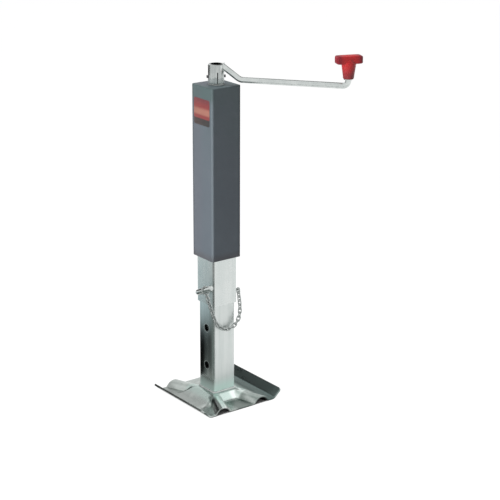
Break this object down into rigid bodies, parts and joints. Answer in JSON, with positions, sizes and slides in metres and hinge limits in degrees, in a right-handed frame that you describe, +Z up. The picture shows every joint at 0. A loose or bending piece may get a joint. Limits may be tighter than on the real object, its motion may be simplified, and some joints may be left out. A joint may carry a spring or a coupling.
{
  "type": "square trailer jack",
  "caption": "Square-tube trailer jack with a side crank on top, a telescoping ram, a pinned drop leg with adjusting holes, a chained locking pin and a stamped foot plate.",
  "frame": {"origin": "on the jack's upright axis, at the ground under the foot plate", "axes": "+Z up the jack; +Y towards the trailer, out of the housing face that is welded on; the locking pin is pulled out towards -X"},
  "size_m": [0.3201, 0.3405, 0.799],
  "materials": {
    "slate_paint": "satin slate-grey paint on the housing",
    "zinc_plate": "bright zinc plating, slightly clouded",
    "weld_metal": "zinc plated weld bead",
    "dark_steel": "dark oiled steel",
    "bearing_steel": "ground bearing steel",
    "nut_iron": "cast and machined iron",
    "red_plastic": "red moulded plastic"
  },
  "bodies": {
    "housing": {"outer_tube": "slate_paint", "top_cap": "slate_paint", "cap_bushing": "dark_steel", "upper_race": "bearing_steel"},
    "crank": {"lead_screw": "dark_steel", "thrust_collar": "dark_steel", "collar_pin": "dark_steel", "lower_race": "bearing_steel", "bearing_balls": "bearing_steel", "ball_cage": "dark_steel", "crank_hub": "zinc_plate", "hub_pin": "zinc_plate", "crank_arm": "zinc_plate", "knob_washer": "zinc_plate", "knob_clip": "dark_steel", "stop_washer": "dark_steel", "stop_pin": "dark_steel"},
    "knob": {"crank_knob": "red_plastic"},
    "ram": {"ram_tube": "zinc_plate", "ram_nut": "nut_iron", "nut_pins": "dark_steel", "drop_leg": "zinc_plate", "foot_plate": "zinc_plate", "leg_weld": "weld_metal", "chain_eye": "zinc_plate", "pin_chain": "zinc_plate"},
    "pin": {"lock_pin": "zinc_plate", "chain_ring": "zinc_plate"}
  },
  "joints": [
    {"name": "crank_turn", "type": "hinge", "parent": "housing", "child": "crank", "pos_m": [0, 0, 0.72], "axis": [0, 0, -1], "range_deg": [0, 18000]},
    {"name": "ram_slide", "type": "slide", "parent": "housing", "child": "ram", "axis": [0, 0, -1], "range_m": [0, 0.25]},
    {"name": "knob_spin", "type": "hinge", "parent": "crank", "child": "knob", "pos_m": [0.18061, -0.22304, 0.77], "axis": [0, 0, 1], "continuous": true},
    {"name": "pin_pull", "type": "slide", "parent": "ram", "child": "pin", "axis": [-1, 0, 0], "range_m": [0, 0.08], "deforming": ["pin_chain"]}
  ],
  "couplings": [
    {"joint": "ram_slide", "follows": "crank_turn", "m_per_rad": 0.00079577}
  ]
}
